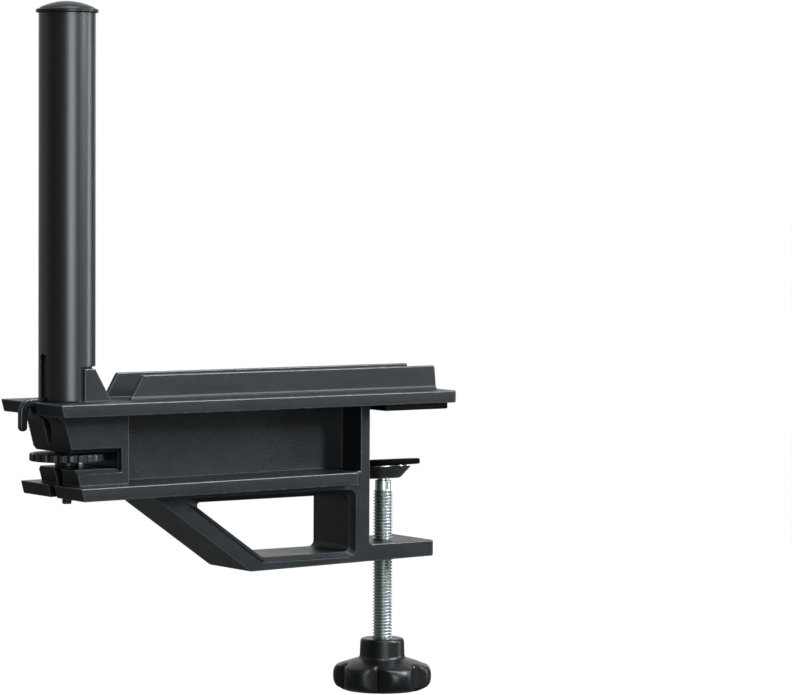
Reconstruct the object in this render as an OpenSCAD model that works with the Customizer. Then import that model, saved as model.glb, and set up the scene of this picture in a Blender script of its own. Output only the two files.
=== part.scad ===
// Table tennis net clamp: a moulded bracket that screws onto the table edge and carries a net post.
// Origin: the table's top edge at the clamp's middle. X runs in over the table, Y along the edge,
// Z up from the playing surface. Millimetres.

/* [Clamp mouth] */
// Height of the mouth, from the rubber of the top jaw to the lower jaw
mouth_h = 52.3; // [48:0.1:60]
// Reach of the top jaw over the table
top_reach = 36; // [34:0.5:44]
// Reach of the lower jaw under the table
low_reach = 30.9; // [28:0.1:36]
// Thickness of the lower jaw
jaw_t = 6.1; // [5:0.1:8]
// Depth of the rubber pad along the table edge
pad_depth = 44; // [30:0.5:45]
// Thickness of the rubber pad
pad_t = 2.3; // [1.5:0.1:3.5]
// Length of the top jaw past the rubber pad
pad_short = 3.4; // [1:0.1:6]
// Fillet between the wall and the top jaw
root_fillet = 1.4; // [0.5:0.1:2]

/* [Beam] */
// Width of the two flanges along the table edge
flange_w = 45.6; // [38:0.2:52]
// Thickness of the top flange
flange_t = 4.7; // [4:0.1:6]
// Thickness of the lower flange
low_flange_t = 4.9; // [4:0.1:6]
// Gap between the flanges at the post
gap_post = 26.3; // [25:0.1:28]
// Gap between the flanges at the table edge
gap_edge = 25.4; // [24:0.1:27]
// Thickness of the web between the flanges
web_t = 3; // [2:0.1:6]
// Thickness of the wall against the table edge, beside the web
wall_t = 4.3; // [3:0.1:6]
// Width of the box, the wall, the lower frame and the lower jaw
frame_w = 28.8; // [27.6:0.2:34]
// Length of the lower flange past the wall
low_flange_past = 5.3; // [3:0.1:8]
// Plan radius of the flange corners over the table
corner_r = 2.5; // [1:0.1:4]

/* [Post end] */
// Distance from the table edge to the post's axis
overhang = 127.2; // [120:0.1:140]
// Distance from the post's axis to the end of the top flange
end_out = 15.4; // [14:0.1:18]
// Lean of the end from upright, in degrees
end_lean = 15.2; // [8:0.1:18]
// Step back of the box from the flange ends
end_step = 4.4; // [2:0.1:5]
// Side of the gusset between the top flange and the box
end_gusset = 2.6; // [1:0.1:4]
// Length of the box past the post's axis
box_in = 18.4; // [17:0.1:24]
// Width of the slit in the end
slit_w = 4.6; // [3.2:0.1:4.8]
// Width of the slit below the thumbwheel
low_slit_w = 4.7; // [3.6:0.1:4.7]
// End of the upper slit, measured outwards from the post's axis
slit_end = 6.3; // [5.6:0.1:7]
// Height of the slot for the thumbwheel
slot_h = 6.2; // [5.8:0.1:7]
// Depth of the slot's roof below the top of the flange
slot_drop = 18.6; // [17.5:0.1:19.5]
// Chamfer along the slot's roof and sill
slot_cham = 1.4; // [0.5:0.1:2]

/* [Lower frame] */
// Start of the brace, measured from the table edge
brace_out = 99.6; // [92:0.1:108]
// Corner at the foot of the brace, measured from the table edge
foot_out = 55.2; // [48:0.1:62]
// Depth of the foot corner below the lower jaw's underside
foot_drop = 1.4; // [0:0.1:2]
// Radius of the foot corner
foot_r = 3; // [1:0.1:5]
// Thickness of the bar under the lower flange
bar_t = 1.9; // [1:0.1:3]
// Thickness of the brace, square to it
brace_t = 6.2; // [5:0.1:8]
// Thickness of the wall beside the window
window_wall_t = 6.7; // [5:0.1:9]
// Thickness of the bar under the window
sill_t = 3.3; // [2.5:0.1:4]
// Chamfer round the window
window_cham = 1.8; // [0.5:0.1:2.5]
// Radius of the window's corners
window_r = 2.5; // [1:0.1:4]

/* [Net channel] */
// Height of the channel walls
ridge_h = 9.3; // [6:0.1:12]
// Width over the channel walls
ridge_w = 20.8; // [20:0.2:24]
// Thickness of a channel wall
ridge_t = 2.2; // [1.6:0.1:3]
// Start of the channel walls, measured from the post's axis
ridge_start = 21.5; // [20:0.1:26]
// End of the channel walls, short of the jaw's tip
ridge_short = 1.9; // [1:0.1:12]
// Run of the sloped ends by the post
ridge_slope = 5.4; // [2:0.1:8]
// Run of the sloped ends over the table
ridge_end_slope = 0.8; // [0.2:0.1:4]
// Height of the fins beside the post
fin_h = 12.3; // [8:0.1:16]
// Start of a fin, measured inwards from the post's axis
fin_start = 1.6; // [1.2:0.1:2.4]
// Length of a fin at its foot
fin_l = 11.7; // [9:0.1:14]
// Length of a fin at its top
fin_top_l = 4.7; // [3:0.1:6]
// Side of the sloped strip at the foot of the walls
strip_s = 1.1; // [0.5:0.1:2]

/* [Post] */
// Top of the tube above the playing surface
post_top = 151; // [130:0.5:175]
// Outside diameter of the tube
tube_d = 21.2; // [20:0.1:22]
// Wall of the tube
tube_wall = 1.2; // [0.9:0.1:1.6]
// Gap between the tube's foot and the flange
foot_gap = 0.2; // [0.1:0.05:0.5]
// Height of the guide stem inside the tube
stem_h = 33; // [25:0.5:50]
// Width of the cord slot
cord_slot_w = 4.4; // [3.8:0.1:5]
// Height of the cord slot above the flange
cord_slot_h = 17.7; // [12:0.1:24]
// Clearance of the cut-out above the fins
cutout_gap = 0.7; // [0.4:0.1:2]
// Edge of the cut-out, measured outwards from the post's axis
cutout_edge = 0.9; // [0.6:0.1:2]
// Turn of the tube on its stem, in degrees
post_turn = 3.5; // [0:0.1:3.5]
// Rim of the cap past the tube
cap_rim = 1; // [0.4:0.1:2]
// Height of the cap above the tube
cap_h = 4.3; // [3:0.1:8]
// Length of the cap's skirt
cap_skirt = 10; // [6:0.5:16]
// Wall of the cap
cap_wall = 1.6; // [1.2:0.1:2.2]

/* [Height adjuster] */
// Diameter of the height screw
rod_d = 4; // [3.5:0.1:4.4]
// Length of the rod below the lower flange
rod_out = 2.5; // [1:0.1:6]
// Space between the stem and the plug above it
plug_gap = 4; // [2:0.5:8]
// Length of the plug in the tube
plug_l = 26; // [18:0.5:34]
// Diameter of the thumbwheel
wheel_d = 28; // [26:0.1:28.4]
// Thickness of the thumbwheel's rim
wheel_t = 2.8; // [2:0.1:4]
// Gap between the slot's roof and the thumbwheel's rim
wheel_gap = 0.8; // [0.7:0.1:1]
// Diameter of the thumbwheel's boss
wheel_boss_d = 14; // [12:0.1:18]
// Diameter of the thumbwheel's hub under its rim, and of the thrust washers
wheel_hub_d = 9; // [8.6:0.1:12]
// Room round the thumbwheel in its slot
wheel_room = 0.3; // [0.3:0.1:1.5]
// Notches in the thumbwheel's rim
wheel_notches = 24; // [16:1:30]
// Radius of a notch
notch_r = 1.2; // [0.8:0.05:1.3]
// Thickness of the thrust washers
washer_t = 0.5; // [0.3:0.1:0.8]
// Width over the flats of the small nuts
nut_af = 7; // [6.5:0.1:7.5]
// Height of the nut in the plug
nut_h = 3.2; // [2.4:0.1:3.6]
// Height of the thin nut in the thumbwheel
thin_nut_h = 2.2; // [1.8:0.1:2.4]

/* [Cord hook] */
// Width of the hook's strip
hook_w = 2.5; // [2.2:0.1:2.5]
// Thickness of the hook's strip
hook_t = 3.2; // [2.4:0.1:3.6]
// Height of the hook's top above the flange
hook_rise = 1.4; // [0.8:0.1:2]
// Gap between the flange end and the hook's leg
hook_gap = 1.8; // [1.2:0.1:3]
// Drop of the leg below the top of the flange
hook_drop = 10.7; // [8:0.1:14]
// End of the hook's arm, measured outwards from the post's axis
hook_in = 3; // [2.6:0.1:3.2]
// Diameter of the peg under the arm
hook_peg_d = 2.2; // [1.6:0.1:2.4]
// Length of the peg
hook_peg_l = 7; // [4:0.5:10]

/* [Clamp screw] */
// Distance of the screw's axis from the table edge
screw_x = 16.1; // [15.8:0.1:18]
// Outside diameter of the thread
screw_d = 7.8; // [7:0.1:8.2]
// Diameter of the plain shank above the thread
shank_d = 6.2; // [5.8:0.1:7]
// Length of the plain shank below the cup
shank_l = 4; // [2:0.5:6]
// Diameter of the neck that holds the cup
neck_d = 4.4; // [4:0.1:4.6]
// Gap between the jaws as drawn
open_gap = 20.9; // [8:0.1:26]
// Lean of the loose cup on its neck, in degrees
pad_lean = 4.8; // [0:0.1:5]
// Diameter of the rubber disc
disc_d = 29.6; // [26:0.2:30.4]
// Thickness of the rubber disc
disc_t = 2.2; // [2:0.1:4]
// Height of the backing plate between the disc and the cup's rim
plate_rise = 0.7; // [0.4:0.1:1.5]
// Outside diameter of the steel cup at its rim
cup_d = 22.4; // [20:0.2:25]
// Outside diameter of the cup's floor
cup_floor_d = 13.4; // [12.4:0.1:16]
// Depth of the cup
cup_h = 4.5; // [4.4:0.1:6]
// Thickness of the cup's steel
cup_t = 1.1; // [0.8:0.1:1.4]
// Distance from the top of the rubber disc to the top of the knob
knob_down = 70.6; // [66:0.1:80]
// Outside diameter of the threaded bush in the lower jaw
bush_d = 12; // [11:0.1:14]

/* [Knob] */
// Diameter over the lobes
knob_d = 39.7; // [38:0.1:46]
// Number of lobes
knob_lobes = 6; // [5:1:8]
// Turn of the first lobe from the X axis, in degrees
knob_turn = 18; // [0:1:60]
// Radius of a lobe
lobe_r = 6.3; // [5:0.1:7]
// Height of the knob
knob_h = 20.2; // [19:0.1:24]
// Diameter of the collar
collar_d = 17.8; // [16.8:0.1:19]
// Height of the collar
collar_h = 7.7; // [6:0.1:9]
// Diameter of the knob's foot
foot_d = 30.8; // [29:0.1:32]
// Width over the flats of the screw's head
head_af = 13; // [12:0.1:13.4]
// Height of the screw's head
head_h = 5.3; // [4.6:0.1:5.6]
// Thickness of the cap under the knob
knob_cap_t = 1.5; // [1:0.1:2]

/* [Hidden] */

run_fit = 0.05;     // radial running clearance of threads and sliding parts
free_fit = 0.4;     // radial clearance of a hole that only lets a screw pass
seat_fit = 0.1;     // gap round nuts, caps and other seated parts
over = 1;           // how far a cut runs past the face it opens
skin_t = 0.1;       // thickness of the slices that a chamfer is drawn between
bite = 0.6;         // how far joined shapes reach into each other
edge_r = 0.7;       // radius of soft and worn edges
root_in = 2;        // how far the brace's root runs back into the flange
rod_past = 2;       // end of the height screw past the plug
peg_edge = 0.3;     // end of the hook's arm past its peg
cap_edge = 1.4;     // rim of the knob's cap past the screw's head
plate_sink = 0.8;   // how deep the backing plate sits in the cup

post_x = -overhang;
z_flange = pad_t + flange_t;                       // top of the top flange
z_low_post = pad_t - gap_post;                     // top of the lower flange at the post
z_low_edge = pad_t - gap_edge;                     // top of the lower flange at the table
z_jaw = -mouth_h;                                  // top of the lower jaw
z_under = z_jaw - jaw_t;                           // underside of the lower jaw
z_foot = z_under - foot_drop;
box_x = post_x + box_in;                           // inner face of the box
low_end_x = -wall_t - low_flange_past;             // end of the lower flange
end_tan = tan(end_lean);
tube_r = tube_d / 2;
bore_r = tube_r - tube_wall;
stem_r = bore_r - run_fit;
z_stem = z_flange + stem_h;
z_slot = z_flange - slot_drop;                     // roof of the thumbwheel slot
z_sill = z_slot - slot_h;                          // floor of the thumbwheel slot
rod_r = rod_d / 2;
rod_hole_r = rod_r + free_fit;
z_tube = z_flange + foot_gap;
z_plug = z_stem + plug_gap;
z_wheel = z_slot - wheel_gap - wheel_t / 2;
z_boss = z_slot - washer_t - seat_fit;             // top of the thumbwheel's boss
z_rod = z_low_post - low_flange_t - rod_out;
rod_top = z_plug + plug_l + rod_past;              // end of the height screw above its nut
z_arm = z_flange + hook_rise - hook_t;             // underside of the hook's arm
peg_x = post_x - hook_in - hook_peg_d / 2 - peg_edge;
nut_r = nut_af / 2 / cos(30);
screw_r = screw_d / 2;
neck_r = neck_d / 2;
play = 0.65;                                       // slack above and below the cup's floor
z_disc = -open_gap;                                // top of the rubber disc, when level
z_plate = z_disc - disc_t;                         // top of the backing plate
z_rim = z_plate - plate_rise;                      // rim of the cup
z_cup = z_rim - cup_h;                             // underside of the cup
z_shank = z_cup - play;                            // shoulder under the cup
cup_slope = (cup_d - cup_floor_d) / 2 / cup_h;
cup_side = cup_t * norm([1, cup_slope]);           // thickness of the cup's sloped side, measured level
z_collar = z_disc - knob_down;                     // top of the knob
z_shoulder = z_collar - collar_h;
z_knob = z_collar - knob_h;
head_r = head_af / 2 / cos(30);
z_head = z_knob + knob_cap_t + head_h + 2 * seat_fit; // seat of the screw's head
knob_cap_r = head_r + cap_edge;
foot_h = 1.2;                                      // height of the knob's foot under the lobes
lobe_h = 8.4;                                      // height of a lobe's rounded end
lobe_round = 4;                                    // how far that end is drawn in above and below
ring_t = 0.8;
ring_w = 1.6;
neck_end = 0.3;                                    // end of the neck past the ring
z_ring = z_cup + cup_t + play;                     // underside of the retaining ring

// End of the flanges, and of the box, at height z
function end_x(z) = post_x - end_out + end_tan * (z_flange - z);
function box_end_x(z) = end_x(z) + end_step;
// Underside of the lower flange at x
function low_under(x) = z_low_post - low_flange_t
    + (z_low_edge - z_low_post) * (x - post_x) / (low_end_x - post_x);

// Outline with arcs of the given radii at its corners
function unit(v) = v / norm(v);
function corner_arc(a, p, b, r, steps = 6) = r <= 0 ? [p] :
    let (u = unit(a - p), w = unit(b - p), half = acos(u * w) / 2,
         c = p + unit(u + w) * r / sin(half), s = p + u * r / tan(half) - c,
         turn = sign(u.y * w.x - u.x * w.y) * (180 - 2 * half) / steps)
    [for (i = [0:steps]) let (a = turn * i) c + [s.x * cos(a) - s.y * sin(a), s.x * sin(a) + s.y * cos(a)]];
function rounded(p, r) = let (n = len(p))
    [for (i = [0:n - 1]) each corner_arc(p[(i + n - 1) % n], p[i], p[(i + 1) % n], r[i])];

// A side outline in X and Z, given depth along Y and centred on y
module slab(outline, depth, y = 0)
    translate([0, y + depth / 2, 0]) rotate([90, 0, 0]) linear_extrude(depth) polygon(outline);

// An upright cylinder or tube between two heights
module rod(x, r, z0, z1, fn = 64)
    translate([x, 0, z0]) cylinder(h = z1 - z0, r = r, $fn = fn);
module ring(x, r, hole, z0, z1, fn = 64) difference() {
    rod(x, r, z0, z1, fn);
    rod(x, hole, z0 - over, z1 + over, 48);
}
module block(x0, x1, w, z0, z1)
    translate([x0, -w / 2, z0]) cube([x1 - x0, w, z1 - z0]);

// What a plan radius takes off an upright corner that faces +X, on both sides
module corner_cut(x, w, r, z0, z1)
    for (s = [-1, 1]) translate([x - r, s * (w / 2 - r), z0]) difference() {
        translate([0, s > 0 ? 0 : -r - over, 0]) cube([r + over, r + over, z1 - z0]);
        translate([0, 0, -over]) cylinder(h = z1 - z0 + 2 * over, r = r, $fn = 48);
    }

// Chamfers on both faces of the frame, from an outline on the face to a smaller one behind it
module chamfers(face, inner, depth)
    for (s = [-1, 1]) hull() {
        slab(face, skin_t, s * (frame_w / 2 + 0.4 * skin_t));
        slab(inner, skin_t, s * (frame_w / 2 - depth));
    }

// Flanges, web, box and the wall against the table
module beam() {
    difference() {
        slab([[end_x(z_flange), z_flange], [top_reach, z_flange],
              [top_reach, pad_t], [end_x(pad_t), pad_t]], flange_w);
        corner_cut(top_reach, flange_w, corner_r, pad_t - over, z_flange + over);
    }
    difference() {
        slab([[end_x(z_low_post), z_low_post], [low_end_x, z_low_edge],
              [low_end_x, low_under(low_end_x)], [end_x(low_under(post_x)), low_under(post_x)]], flange_w);
        corner_cut(low_end_x, flange_w, corner_r, z_low_post - low_flange_t - over, z_low_edge + over);
    }
    slab([[box_end_x(pad_t + bite), pad_t + bite], [box_x, pad_t + bite],
          [box_x, z_low_post - bite], [box_end_x(z_low_post - bite), z_low_post - bite]], frame_w);
    slab([[box_end_x(pad_t) - end_gusset, pad_t + bite], [box_end_x(pad_t) + bite, pad_t + bite],
          [box_end_x(pad_t - end_gusset) + bite, pad_t - end_gusset],
          [box_end_x(pad_t - end_gusset), pad_t - end_gusset],
          [box_end_x(pad_t) - end_gusset, pad_t]], frame_w);
    block(box_x - bite, -wall_t + bite, web_t, z_low_post - bite, pad_t + bite);
    block(-wall_t, 0, frame_w, low_under(0) - bite, pad_t + bite);
    slab([[-bite, pad_t + bite], [root_fillet, pad_t + bite], [root_fillet, pad_t], [0, pad_t - root_fillet],
          [-bite, pad_t - root_fillet]], frame_w);
}

// Window of the lower frame, chamfered on both faces: behind the chamfer it is smaller by window_cham
brace_dir = unit([-foot_out + brace_out, z_foot - low_under(-brace_out)]);
brace_n = [-brace_dir.y, brace_dir.x];
function brace_in_x(z, t) = let (p = [-brace_out, low_under(-brace_out)] + brace_n * t)
    p.x + brace_dir.x * (z - p.y) / brace_dir.y;
function window_outline(in) =
    let (top = low_under(-brace_out) - bar_t - in, low = z_foot + sill_t + in, right = -window_wall_t - in,
         t = brace_t + in)
    rounded([[brace_in_x(top, t), top], [right, top], [right, low], [brace_in_x(low, t), low]],
            [window_r / 2, window_r, window_r, window_r / 2]);

// Brace, bars and lower jaw, open in the middle
module lower_frame() difference() {
    root = [-brace_out, low_under(-brace_out)] - root_in * brace_dir;
    slab(rounded([root, [-foot_out, z_foot], [low_reach, z_under],
                  [low_reach, z_jaw], [0, z_jaw], [0, low_under(low_end_x) + low_flange_t],
                  [low_end_x, low_under(low_end_x) + low_flange_t - bite]],
                 [0, foot_r, edge_r, edge_r, foot_r / 2, 0, 0]), frame_w);
    slab(window_outline(window_cham), frame_w + 2 * over);
    chamfers(window_outline(0), window_outline(window_cham), window_cham);
    corner_cut(low_reach, frame_w, corner_r * 0.6, z_foot - over, z_jaw + over);
}

// Walls that hold the foot of the net, and the fins beside the post
module net_channel() {
    top = z_flange + ridge_h;
    x0 = post_x + ridge_start;
    x1 = top_reach - ridge_short;
    fin_x = post_x + fin_start;
    for (s = [-1, 1]) {
        y = s * (ridge_w - ridge_t) / 2;
        slab([[x0, z_flange - bite], [x0, z_flange], [x0 + ridge_slope, top], [x1 - ridge_end_slope, top],
              [x1, z_flange], [x1, z_flange - bite]], ridge_t, y);
        slab([[fin_x, z_flange - bite], [fin_x, z_flange + fin_h], [fin_x + fin_top_l, z_flange + fin_h],
              [fin_x + fin_l, z_flange], [fin_x + fin_l, z_flange - bite]], ridge_t, y);
        translate([x0, s * (ridge_w / 2 - bite), z_flange - bite]) rotate([90, 0, 90])
            linear_extrude(x1 - x0)
            polygon([[0, 0], [s * (strip_s + bite), 0], [s * (strip_s + bite), bite],
                     [s * bite, bite + strip_s], [0, bite + strip_s]]);
    }
}

// Side outline of the thumbwheel's slot, grown by the given amount, and by half of it at its inner end
clear_x = end_x(z_flange) - over;
slot_x = post_x + wheel_d / 2 + wheel_room;
function slot_outline(grow) = let (x = slot_x + grow / 2, low = z_sill - grow, top = z_slot + grow)
    [[clear_x, low], [x, low], [x, top], [clear_x, top]];

// One moulding: beam, lower frame, net channel and the guide stem for the post
module clamp_body() color([0.13, 0.14, 0.15]) {
    difference() {
        union() {
            beam();
            lower_frame();
            net_channel();
            rod(post_x, stem_r, z_flange - bite, z_stem);
        }
        // thumbwheel slot, chamfered on both faces
        slab(slot_outline(0), frame_w + 2 * over);
        chamfers(slot_outline(slot_cham), slot_outline(0), slot_cham);
        // slit in the end, from the top flange down through the lower one
        block(clear_x, post_x - slit_end, slit_w, z_slot - over, z_flange + over);
        block(clear_x, post_x, low_slit_w, z_low_post - low_flange_t - over, z_sill + over);
        // seat of the hook's arm, and the hole for its peg
        block(post_x - stem_r - over, post_x - hook_in + seat_fit, hook_w + 2 * seat_fit, z_arm - 0.02,
              z_arm + hook_t + seat_fit);
        rod(peg_x, hook_peg_d / 2 + run_fit, z_arm - hook_peg_l - seat_fit, z_arm, 32);
        // way of the height screw, and the seat of the bush in the lower jaw
        rod(post_x, rod_hole_r, z_low_post - low_flange_t - over, z_stem + over, 48);
        rod(screw_x, bush_d / 2, z_foot - over, z_jaw + over);
    }
}

// Rubber under the top jaw
module jaw_pad() color([0.09, 0.09, 0.09]) difference() {
    start = root_fillet + free_fit;
    translate([start, -pad_depth / 2, 0]) cube([top_reach - pad_short - start, pad_depth, pad_t]);
    corner_cut(top_reach - pad_short, pad_depth, corner_r, -over, pad_t + over);
}

// Threaded bush moulded into the lower jaw
module jaw_bush() color([0.72, 0.6, 0.33])
    ring(screw_x, bush_d / 2, screw_r + run_fit, z_under, z_jaw - seat_fit);

// Hook for the tension cord, pegged into the stem and led out through the slit
module cord_hook() color([0.12, 0.13, 0.14]) {
    top = z_arm + hook_t;
    in_x = post_x - hook_in;
    leg_x = end_x(z_flange) - hook_gap;
    out_x = leg_x - hook_t;
    low = z_flange - hook_drop;
    slab(rounded([[in_x, top], [out_x, top], [out_x, low], [leg_x, low], [leg_x, z_arm], [in_x, z_arm]],
                 [0, hook_t * 1.6, hook_t * 0.49, hook_t * 0.49, hook_t / 2, 0]), hook_w);
    rod(peg_x, hook_peg_d / 2, z_arm - hook_peg_l, z_arm + bite, 32);
}

// Washers above and below the thumbwheel
module wheel_washers() color([0.6, 0.61, 0.62])
    for (z = [z_slot - washer_t, z_sill])
        ring(post_x, wheel_hub_d / 2, rod_hole_r, z, z + washer_t, 48);

// Thumbwheel with a notched rim and a pocket for its nut
module thumbwheel() color([0.11, 0.11, 0.12]) difference() {
    union() {
        translate([post_x, 0, z_wheel - wheel_t / 2]) linear_extrude(wheel_t) difference() {
            circle(r = wheel_d / 2, $fn = 96);
            for (i = [0:wheel_notches - 1]) rotate(i * 360 / wheel_notches)
                translate([wheel_d / 2 + notch_r * 0.45, 0]) circle(r = notch_r, $fn = 24);
        }
        rod(post_x, wheel_boss_d / 2, z_wheel, z_boss);
        rod(post_x, wheel_hub_d / 2, z_sill + washer_t + seat_fit, z_wheel);
    }
    rod(post_x, rod_hole_r, z_sill, z_slot, 48);
    rod(post_x, nut_r + seat_fit, z_boss - thin_nut_h, z_slot, 6);
}

// Nut that the height screw runs in
module wheel_nut() color([0.7, 0.71, 0.72]) difference() {
    rod(post_x, nut_r, z_boss - thin_nut_h, z_boss, 6);
    rod(post_x, rod_r + run_fit, z_sill, z_slot, 48);
}

// Post: a tube slotted for the hook and cut away for the fins
module post_tube() color([0.1, 0.11, 0.12])
translate([post_x, 0, 0]) rotate(post_turn) translate([-post_x, 0, 0]) difference() {
    ring(post_x, tube_r, bore_r, z_tube, post_top, 96);
    z_round = z_flange + cord_slot_h - cord_slot_w / 2;
    block(post_x - tube_r - over, post_x, cord_slot_w, z_tube - over, z_round);
    translate([post_x - tube_r - over, 0, z_round]) rotate([0, 90, 0])
        cylinder(h = tube_r + over, r = cord_slot_w / 2, $fn = 48);
    block(post_x - cutout_edge, post_x + tube_r + over, tube_d + 2 * over, z_tube - over,
          z_flange + fin_h + cutout_gap);
}

// Domed cap with a skirt inside the tube
module post_cap() color([0.1, 0.1, 0.11]) {
    rim = tube_r + cap_rim;
    rise = cap_h - cap_wall;
    dome_r = (rim * rim + rise * rise) / (2 * rise);
    intersection() {
        rod(post_x, rim, post_top, post_top + cap_h + over, 96);
        translate([post_x, 0, post_top + cap_h - dome_r]) sphere(r = dome_r, $fn = 96);
    }
    ring(post_x, stem_r, stem_r - cap_wall, post_top - cap_skirt, post_top + cap_wall / 2);
}

// Plug fixed in the tube, carried by the height screw
module post_plug() color([0.2, 0.2, 0.21]) difference() {
    rod(post_x, stem_r, z_plug, z_plug + plug_l);
    rod(post_x, rod_r + run_fit, z_plug - over, z_plug + plug_l + over, 48);
    rod(post_x, nut_r + seat_fit, z_plug + plug_l - nut_h, z_plug + plug_l + over, 6);
}
module plug_nut() color([0.7, 0.71, 0.72]) difference() {
    rod(post_x, nut_r, z_plug + plug_l - nut_h, z_plug + plug_l, 6);
    rod(post_x, rod_r + run_fit, z_plug, z_plug + plug_l + over, 48);
}

// Threaded rod that lifts the post as the thumbwheel turns
module height_screw() color([0.66, 0.67, 0.68]) {
    rod(post_x, rod_r, z_rod + rod_r * 0.4, rod_top, 48);
    translate([post_x, 0, z_rod]) cylinder(h = rod_r * 0.4, r1 = rod_r * 0.6, r2 = rod_r, $fn = 48);
}

// Ring that keeps the cup on the screw's neck
module retaining_ring() color([0.62, 0.63, 0.64])
    ring(screw_x, neck_r + ring_w, neck_r + run_fit, z_ring, z_ring + ring_t, 48);

// Clamping screw: hexagon head in the knob, thread, plain shank, and a neck inside the cup
module clamp_screw() color([0.75, 0.77, 0.78]) {
    rod(screw_x, head_r, z_head - head_h, z_head, 6);
    rod(screw_x, screw_r, z_head - bite, z_shank - shank_l);
    rod(screw_x, shank_d / 2, z_shank - shank_l - bite, z_shank);
    rod(screw_x, neck_r, z_shank - bite, z_ring + ring_t + neck_end, 48);
}

// Star knob: lobes with rounded ends under a sloped shoulder, with a collar and a foot
module knob() color([0.07, 0.07, 0.08]) difference() {
    union() {
        intersection() {
            translate([screw_x, 0, z_knob - over]) linear_extrude(knob_h) union() {
                circle(r = foot_d / 2, $fn = 96);
                for (i = [0:knob_lobes - 1]) rotate(knob_turn + i * 360 / knob_lobes)
                    translate([knob_d / 2 - lobe_r, 0]) circle(r = lobe_r, $fn = 48);
            }
            translate([screw_x, 0, 0]) rotate_extrude($fn = 96) polygon(concat(
                [[0, z_knob], [foot_d / 2, z_knob]],
                [for (a = [-60:15:60]) [knob_d / 2 - lobe_round * (1 - cos(a)),
                                        z_knob + foot_h + lobe_h / 2 * (1 + sin(a) / sin(60))]],
                [[collar_d / 2 + lobe_round, z_shoulder - foot_h], [collar_d / 2, z_shoulder],
                 [0, z_shoulder]]));
        }
        rod(screw_x, collar_d / 2, z_shoulder - bite, z_collar);
    }
    rod(screw_x, screw_r + run_fit, z_knob - over, z_collar + over);
    rod(screw_x, head_r + seat_fit, z_knob - over, z_head, 6);
    rod(screw_x, knob_cap_r + run_fit, z_knob - over, z_knob + knob_cap_t + seat_fit);
}

// Cap that closes the knob's underside
module knob_cap() color([0.09, 0.09, 0.1])
    rod(screw_x, knob_cap_r, z_knob, z_knob + knob_cap_t);

// Pieces of the pressure pad, which leans on the neck inside its slack
module leaning() translate([screw_x, 0, z_cup + cup_t / 2]) rotate([-pad_lean, 0, 0])
    translate([0, 0, -z_cup - cup_t / 2]) rotate_extrude($fn = 96) children();

// Pressed steel cup on the screw's tip
module pressure_cup() color([0.42, 0.4, 0.37]) leaning() polygon([
    [neck_r + free_fit, z_cup], [cup_floor_d / 2, z_cup], [cup_d / 2, z_rim], [cup_d / 2 - cup_side, z_rim],
    [cup_floor_d / 2 - cup_side + cup_slope * cup_t, z_cup + cup_t], [neck_r + free_fit, z_cup + cup_t]]);

// Bright plate that backs the rubber disc and seats in the cup
module pad_plate() color([0.78, 0.79, 0.8]) leaning() {
    plate_r = cup_d / 2 - cup_side - seat_fit;
    polygon([[0, z_plate], [plate_r, z_plate], [plate_r, z_rim],
             [plate_r - cup_slope * plate_sink, z_rim - plate_sink], [0, z_rim - plate_sink]]);
}

// Rubber disc that presses on the table's underside
module pressure_disc() color([0.07, 0.07, 0.07]) leaning() polygon(rounded([
    [0, z_plate], [disc_d / 2, z_plate], [disc_d / 2, z_disc], [0, z_disc]], [0, edge_r, edge_r, 0]));

clamp_body();
jaw_pad();
jaw_bush();
cord_hook();
wheel_washers();
thumbwheel();
wheel_nut();
post_tube();
post_cap();
post_plug();
plug_nut();
height_screw();
retaining_ring();
clamp_screw();
knob();
knob_cap();
pressure_cup();
pad_plate();
pressure_disc();
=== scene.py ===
"""Looks of a table tennis net clamp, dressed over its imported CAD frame.

The body, hook, jaw pad and tube are the CAD's solids with rounded edges. Every other new piece is a
surface worked out with numpy, in metres, in the CAD frame: X runs in over the table, Y along its edge
and Z up from the playing surface.
"""

import math

import bmesh
import bpy
import numpy as np
from mathutils import Matrix, Vector


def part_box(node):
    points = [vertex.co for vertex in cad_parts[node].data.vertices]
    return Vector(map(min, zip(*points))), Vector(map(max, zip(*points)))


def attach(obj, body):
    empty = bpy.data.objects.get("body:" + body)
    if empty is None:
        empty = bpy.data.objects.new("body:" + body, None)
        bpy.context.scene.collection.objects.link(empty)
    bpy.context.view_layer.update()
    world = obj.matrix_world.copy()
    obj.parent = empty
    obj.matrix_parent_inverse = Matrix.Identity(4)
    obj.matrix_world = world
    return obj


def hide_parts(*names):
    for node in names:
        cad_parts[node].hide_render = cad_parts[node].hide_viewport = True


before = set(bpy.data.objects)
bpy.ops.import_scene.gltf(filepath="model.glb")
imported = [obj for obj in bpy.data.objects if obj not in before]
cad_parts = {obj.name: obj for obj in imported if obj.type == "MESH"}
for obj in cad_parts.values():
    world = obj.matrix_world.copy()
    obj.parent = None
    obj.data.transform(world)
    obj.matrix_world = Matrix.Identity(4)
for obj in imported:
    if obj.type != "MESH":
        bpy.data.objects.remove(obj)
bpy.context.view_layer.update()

bl_info = {
    "name": "Table Tennis Net Clamp",
    "version": (1, 0, 0),
    "blender": (4, 5, 0),
    "location": "3D View > Sidebar > Net Clamp",
    "description": "Dresses a table tennis net clamp and its post in plastic, paint and zinc",
    "category": "Object",
}

MM = 0.001
TURN = 2 * math.pi

# Shapes
THREAD_DEPTH = 0.5413   # of a 60 degree thread, in pitches
CREST, ROOT = 1 / 8, 1 / 4      # widths of a thread's crest and root, in pitches
MOST_CUT = 0.42         # most that a rounded corner takes of the shorter side beside it
FLAT_EDGE = 1.18        # where the flat face beside a rounded corner starts, in radii from the corner
DOUBLE = 1e-7           # distance under which two points of a new surface are one
CAD_DOUBLE = 3e-6       # the same for the loose triangles of a CAD solid
EDGE_DOUBLE = 1e-6      # the same where its rounded edges meet
FLAT = 0.6              # degrees under which faces of a CAD solid are one

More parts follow.
